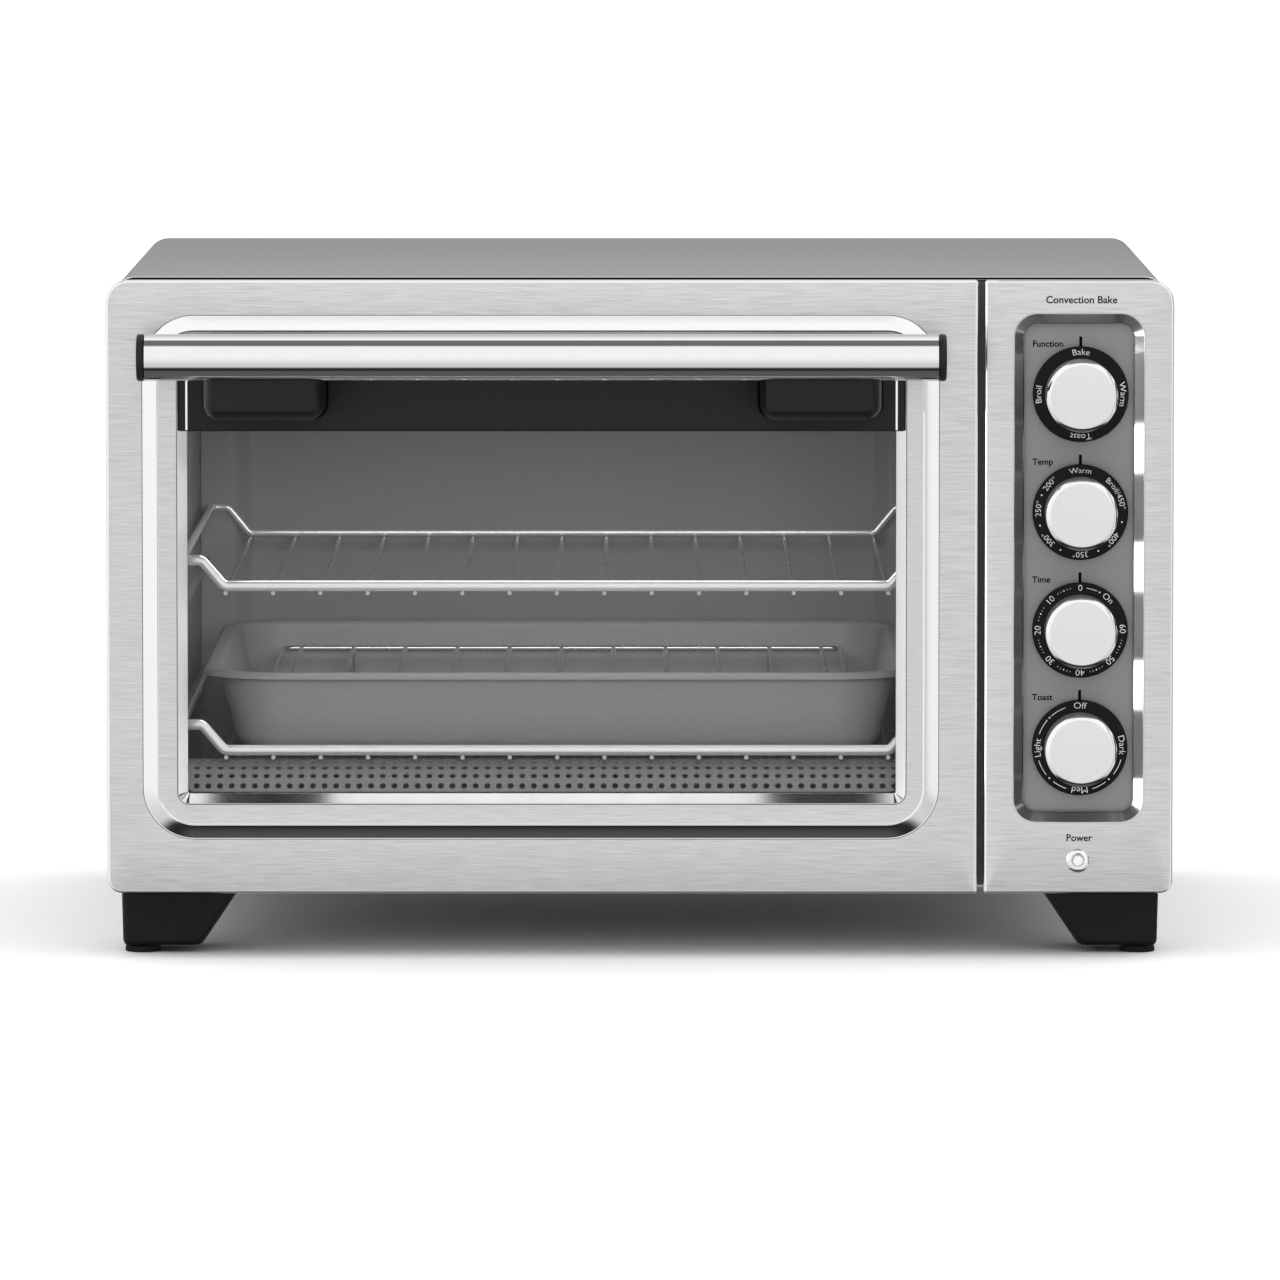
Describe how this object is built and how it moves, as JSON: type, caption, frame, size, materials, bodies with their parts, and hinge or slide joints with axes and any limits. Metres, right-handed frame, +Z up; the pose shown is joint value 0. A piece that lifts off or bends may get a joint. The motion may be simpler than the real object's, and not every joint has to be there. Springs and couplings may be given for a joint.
{
  "type": "toaster oven",
  "caption": "Countertop convection toaster oven with a drop-down glass door, a bar handle, stacked dials, wire racks, a baking pan and a crumb tray.",
  "frame": {"origin": "on the surface the oven stands on, under the middle of its bounding box", "axes": "+X to the right of someone facing the door, +Y from the door to the back, +Z up"},
  "size_m": [0.435, 0.3956, 0.2775],
  "materials": {
    "brushed_steel": "horizontal brushed grain, bright edges",
    "polished_steel": "polished tube",
    "bright_trim": "polished ring",
    "chrome_wire": "plated wire",
    "cover_paint": "satin grey paint",
    "plated_steel": "dull zinc-plated sheet",
    "black_frame": "satin black heat-proof paint",
    "cavity_steel": "grey enamelled sheet",
    "guard_steel": "grey enamelled perforated sheet",
    "heater_sheath": "dark oxidised heater sheath",
    "pan_enamel": "dark smooth enamel",
    "fan_aluminium": "plain stamped sheet",
    "black_plastic": "fine matte black",
    "foot_plastic": "matte black, slight grain",
    "switch_plastic": "moulded phenolic",
    "dial_grey": "satin mid grey",
    "dial_black": "black moulding with white legends",
    "knob_face": "satin silver-white with a polished rim",
    "lamp_lens": "milky white",
    "door_glass": "clear tempered glass",
    "rubber": "matte"
  },
  "bodies": {
    "body": {"outer_cover": "cover_paint", "base_plate": "plated_steel", "rear_panel": "plated_steel", "cord_gland": "rubber", "front_frame": "black_frame", "cavity_left_wall": "cavity_steel", "cavity_right_wall": "cavity_steel", "cavity_top": "cavity_steel", "cavity_floor": "cavity_steel", "cavity_back": "cavity_steel", "element_guard": "guard_steel", "upper_element": "heater_sheath", "lower_element": "heater_sheath", "control_panel": "brushed_steel", "dial_plate": "dial_grey", "power_bezel": "bright_trim", "power_lens": "lamp_lens", "fan_cover": "cavity_steel", "fan_motor": "plated_steel", "function_switch": "switch_plastic", "thermostat": "switch_plastic", "timer": "switch_plastic", "toast_timer": "switch_plastic", "front_left_foot": "foot_plastic", "front_left_pad": "rubber", "front_right_foot": "foot_plastic", "front_right_pad": "rubber", "rear_left_foot": "foot_plastic", "rear_left_pad": "rubber", "rear_right_foot": "foot_plastic", "rear_right_pad": "rubber"},
    "door": {"door_frame": "brushed_steel", "door_inner_panel": "black_frame", "door_glass": "door_glass", "door_trim_strip": "black_plastic", "handle_bar": "polished_steel", "handle_cap_left": "black_plastic", "handle_cap_right": "black_plastic", "handle_post_left": "black_plastic", "handle_post_right": "black_plastic", "hinge_pin_left": "plated_steel", "hinge_pin_right": "plated_steel"},
    "upper_rack": {"upper_rack": "chrome_wire"},
    "lower_rack": {"lower_rack": "chrome_wire"},
    "pan": {"baking_pan": "pan_enamel"},
    "broil_rack": {"broil_rack": "chrome_wire"},
    "crumb_tray": {"crumb_tray": "plated_steel"},
    "fan": {"fan_impeller": "fan_aluminium"},
    "function_control": {"function_knob": "knob_face", "function_dial": "dial_black", "function_shaft": "plated_steel"},
    "temperature_control": {"temperature_knob": "knob_face", "temperature_dial": "dial_black", "temperature_shaft": "plated_steel"},
    "timer_control": {"timer_knob": "knob_face", "timer_dial": "dial_black", "timer_shaft": "plated_steel"},
    "toast_control": {"toast_knob": "knob_face", "toast_dial": "dial_black", "toast_shaft": "plated_steel"}
  },
  "joints": [
    {"name": "door_hinge", "type": "hinge", "parent": "body", "child": "door", "pos_m": [0, -0.14625, 0.03], "axis": [1, 0, 0], "range_deg": [0, 83], "stiffness_Nm_per_rad": 0.6, "springref_deg": -45.84},
    {"name": "upper_rack_slide", "type": "slide", "parent": "body", "child": "upper_rack", "axis": [0, -1, 0], "range_m": [0, 0.155]},
    {"name": "lower_rack_slide", "type": "slide", "parent": "body", "child": "lower_rack", "axis": [0, -1, 0], "range_m": [0, 0.06]},
    {"name": "baking_pan_lift", "type": "slide", "parent": "lower_rack", "child": "pan", "axis": [0, 0, 1], "range_m": [0, 0.015]},
    {"name": "broil_rack_lift", "type": "slide", "parent": "pan", "child": "broil_rack", "axis": [0, 0, 1], "range_m": [0, 0.012]},
    {"name": "crumb_tray_slide", "type": "slide", "parent": "body", "child": "crumb_tray", "axis": [0, 1, 0], "range_m": [0, 0.28]},
    {"name": "function_turn", "type": "hinge", "parent": "body", "child": "function_control", "pos_m": [0.1795, -0.15425, 0.2304], "axis": [0, 1, 0], "continuous": true},
    {"name": "temperature_turn", "type": "hinge", "parent": "body", "child": "temperature_control", "pos_m": [0.1795, -0.15425, 0.18223], "axis": [0, 1, 0], "range_deg": [0, 300]},
    {"name": "timer_turn", "type": "hinge", "parent": "body", "child": "timer_control", "pos_m": [0.1795, -0.15425, 0.13406], "axis": [0, 1, 0], "range_deg": [-40, 270]},
    {"name": "toast_turn", "type": "hinge", "parent": "body", "child": "toast_control", "pos_m": [0.1795, -0.15425, 0.08589], "axis": [0, 1, 0], "range_deg": [0, 270]},
    {"name": "fan_spin", "type": "hinge", "parent": "body", "child": "fan", "pos_m": [0.134, 0.03575, 0.207], "axis": [1, 0, 0], "continuous": true}
  ],
  "couplings": [
    {"joint": "upper_rack_slide", "follows": "door_hinge", "m_per_rad": 0.105},
    {"joint": "lower_rack_slide", "follows": "door_hinge", "m_per_rad": 0.04}
  ]
}
